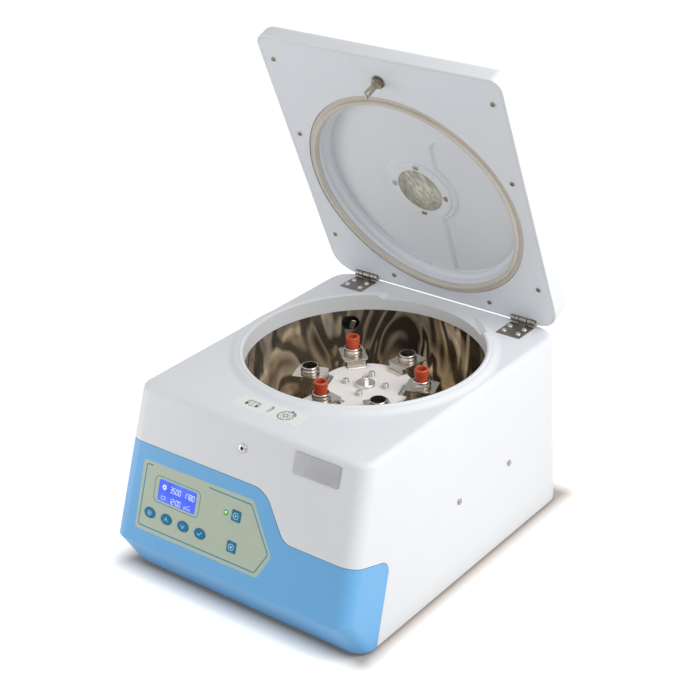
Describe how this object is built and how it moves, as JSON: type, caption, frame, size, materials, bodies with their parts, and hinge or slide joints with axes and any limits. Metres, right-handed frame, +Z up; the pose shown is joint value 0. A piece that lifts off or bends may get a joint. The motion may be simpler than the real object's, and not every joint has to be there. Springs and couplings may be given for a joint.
{
  "type": "laboratory centrifuge",
  "caption": "Bench-top laboratory centrifuge with hinged windowed lid, steel bowl, swing-out bucket rotor and sloping control panel.",
  "frame": {"origin": "on the bench directly under the rotor axis", "axes": "+X to the right seen from the front, +Y to the rear, +Z up along the rotor axis"},
  "size_m": [0.3472, 0.4649, 0.5899],
  "materials": {
    "base_plate": "satin zinc-grey sheet steel",
    "feet": "soft black rubber",
    "upper_housing": "white moulded housing, satin",
    "front_fascia": "light blue painted moulding",
    "control_overlay": "grey-green polyester film",
    "lcd_module": "blue backlit display",
    "status_led": "green lens",
    "control_board": "green circuit board",
    "name_plate": "bare grey plate",
    "deck_label": "pale film label with plain pictograms",
    "release_bushing": "bright turned bushing",
    "steel_bowl": "polished stainless steel",
    "exhaust_sleeve": "dark moulded sleeve",
    "bowl_sensor": "bright plated fitting",
    "motor_case": "black painted motor case",
    "motor_plate": "grey painted plate and legs",
    "motor_mounts": "black rubber isolators",
    "bearing_tower": "turned aluminium",
    "shaft_bearings": "ground bearing steel",
    "latch_block": "black moulded latch body",
    "power_inlet": "black moulded power entry",
    "inlet_pins": "plated contact blades",
    "side_screws": "domed plated screws",
    "hinge_base_left": "gunmetal leaf",
    "hinge_base_right": "gunmetal leaf",
    "hinge_screws": "pan head screws",
    "motor_shaft": "ground shaft",
    "rotor_disc": "pale blasted steel disc",
    "rotor_hub": "turned hub",
    "rotor_washer": "turned washer",
    "rotor_nut": "hexagon nut",
    "rotor_studs": "hollow studs",
    "lid_shell": "white moulded lid, satin",
    "lid_liner": "pale blue-grey moulded liner",
    "lid_gasket": "beige silicone gasket",
    "window_lens": "clear moulded port",
    "window_clips": "small spring clips",
    "lid_screws": "small pan head screws",
    "catch_plate": "plated catch plate",
    "latch_nut": "dark flanged nut",
    "hinge_lid_left": "gunmetal leaf",
    "hinge_lid_right": "gunmetal leaf",
    "hinge_pins": "steel pins",
    "bucket_1": "pressed and welded stainless steel",
    "bucket_2": "pressed and welded stainless steel",
    "tube_adapter_2": "orange-red moulded adapter",
    "bucket_3": "pressed and welded stainless steel",
    "bucket_4": "pressed and welded stainless steel",
    "tube_adapter_4": "orange-red moulded adapter",
    "bucket_5": "pressed and welded stainless steel",
    "bucket_6": "pressed and welded stainless steel",
    "tube_adapter_6": "orange-red moulded adapter",
    "key_set": "teal key cap",
    "key_up": "teal key cap",
    "key_down": "teal key cap",
    "key_enter": "teal key cap",
    "key_start": "teal key cap",
    "key_stop": "teal key cap",
    "latch_bolt": "ground bolt",
    "power_switch": "black rocker"
  },
  "bodies": {
    "housing": {"base_plate": "base_plate", "feet": "feet", "upper_housing": "upper_housing", "front_fascia": "front_fascia", "control_overlay": "control_overlay", "lcd_module": "lcd_module", "status_led": "status_led", "control_board": "control_board", "name_plate": "name_plate", "deck_label": "deck_label", "release_bushing": "release_bushing", "steel_bowl": "steel_bowl", "exhaust_sleeve": "exhaust_sleeve", "bowl_sensor": "bowl_sensor", "motor_case": "motor_case", "motor_plate": "motor_plate", "motor_mounts": "motor_mounts", "bearing_tower": "bearing_tower", "shaft_bearings": "shaft_bearings", "latch_block": "latch_block", "power_inlet": "power_inlet", "inlet_pins": "inlet_pins", "side_screws": "side_screws", "hinge_base_left": "hinge_base_left", "hinge_base_right": "hinge_base_right", "hinge_screws": "hinge_screws"},
    "rotor": {"motor_shaft": "motor_shaft", "rotor_disc": "rotor_disc", "rotor_hub": "rotor_hub", "rotor_washer": "rotor_washer", "rotor_nut": "rotor_nut", "rotor_studs": "rotor_studs"},
    "lid": {"lid_shell": "lid_shell", "lid_liner": "lid_liner", "lid_gasket": "lid_gasket", "window_lens": "window_lens", "window_clips": "window_clips", "lid_screws": "lid_screws", "catch_plate": "catch_plate", "latch_nut": "latch_nut", "hinge_lid_left": "hinge_lid_left", "hinge_lid_right": "hinge_lid_right", "hinge_pins": "hinge_pins"},
    "bucket_1_body": {"bucket_1": "bucket_1"},
    "bucket_2_body": {"bucket_2": "bucket_2", "tube_adapter_2": "tube_adapter_2"},
    "bucket_3_body": {"bucket_3": "bucket_3"},
    "bucket_4_body": {"bucket_4": "bucket_4", "tube_adapter_4": "tube_adapter_4"},
    "bucket_5_body": {"bucket_5": "bucket_5"},
    "bucket_6_body": {"bucket_6": "bucket_6", "tube_adapter_6": "tube_adapter_6"},
    "key_set_body": {"key_set": "key_set"},
    "key_up_body": {"key_up": "key_up"},
    "key_down_body": {"key_down": "key_down"},
    "key_enter_body": {"key_enter": "key_enter"},
    "key_start_body": {"key_start": "key_start"},
    "key_stop_body": {"key_stop": "key_stop"},
    "latch_bolt_body": {"latch_bolt": "latch_bolt"},
    "power_switch_body": {"power_switch": "power_switch"}
  },
  "joints": [
    {"name": "lid_hinge", "type": "hinge", "parent": "housing", "child": "lid", "pos_m": [0, 0.1653, 0.2363], "axis": [-1, 0, 0], "range_deg": [-68.1, 12]},
    {"name": "rotor_spin", "type": "hinge", "parent": "housing", "child": "rotor", "pos_m": [0, 0, 0.1812], "axis": [0, 0, 1], "continuous": true},
    {"name": "bucket_swing_1", "type": "hinge", "parent": "rotor", "child": "bucket_1_body", "pos_m": [0.00878, 0.04719, 0.1812], "axis": [0.9831, -0.1829, 0], "range_deg": [0, 90]},
    {"name": "bucket_swing_2", "type": "hinge", "parent": "rotor", "child": "bucket_2_body", "pos_m": [-0.03648, 0.0312, 0.1812], "axis": [0.65, 0.76, 0], "range_deg": [0, 90]},
    {"name": "bucket_swing_3", "type": "hinge", "parent": "rotor", "child": "bucket_3_body", "pos_m": [-0.04526, -0.01599, 0.1812], "axis": [-0.3331, 0.9429, 0], "range_deg": [0, 90]},
    {"name": "bucket_swing_4", "type": "hinge", "parent": "rotor", "child": "bucket_4_body", "pos_m": [-0.00878, -0.04719, 0.1812], "axis": [-0.9831, 0.1829, 0], "range_deg": [0, 90]},
    {"name": "bucket_swing_5", "type": "hinge", "parent": "rotor", "child": "bucket_5_body", "pos_m": [0.03648, -0.0312, 0.1812], "axis": [-0.65, -0.76, 0], "range_deg": [0, 90]},
    {"name": "bucket_swing_6", "type": "hinge", "parent": "rotor", "child": "bucket_6_body", "pos_m": [0.04526, 0.01599, 0.1812], "axis": [0.3331, -0.9429, 0], "range_deg": [0, 90]},
    {"name": "key_set_press", "type": "slide", "parent": "housing", "child": "key_set_body", "axis": [0, 0.9493, -0.3142], "range_m": [0, 0.0006], "stiffness_N_per_m": 900, "springref_m": -0.0008},
    {"name": "key_up_press", "type": "slide", "parent": "housing", "child": "key_up_body", "axis": [0, 0.9493, -0.3142], "range_m": [0, 0.0006], "stiffness_N_per_m": 900, "springref_m": -0.0008},
    {"name": "key_down_press", "type": "slide", "parent": "housing", "child": "key_down_body", "axis": [0, 0.9493, -0.3142], "range_m": [0, 0.0006], "stiffness_N_per_m": 900, "springref_m": -0.0008},
    {"name": "key_enter_press", "type": "slide", "parent": "housing", "child": "key_enter_body", "axis": [0, 0.9493, -0.3142], "range_m": [0, 0.0006], "stiffness_N_per_m": 900, "springref_m": -0.0008},
    {"name": "key_start_press", "type": "slide", "parent": "housing", "child": "key_start_body", "axis": [0, 0.9493, -0.3142], "range_m": [0, 0.0006], "stiffness_N_per_m": 900, "springref_m": -0.0008},
    {"name": "key_stop_press", "type": "slide", "parent": "housing", "child": "key_stop_body", "axis": [0, 0.9493, -0.3142], "range_m": [0, 0.0006], "stiffness_N_per_m": 900, "springref_m": -0.0008},
    {"name": "latch_bolt_slide", "type": "slide", "parent": "housing", "child": "latch_bolt_body", "axis": [1, 0, 0], "range_m": [0, 0.0065], "stiffness_N_per_m": 120, "springref_m": -0.004},
    {"name": "power_switch_rock", "type": "hinge", "parent": "housing", "child": "power_switch_body", "pos_m": [0.096, 0.17472, 0.05092], "axis": [-1, 0, 0], "range_deg": [0, 16]}
  ]
}
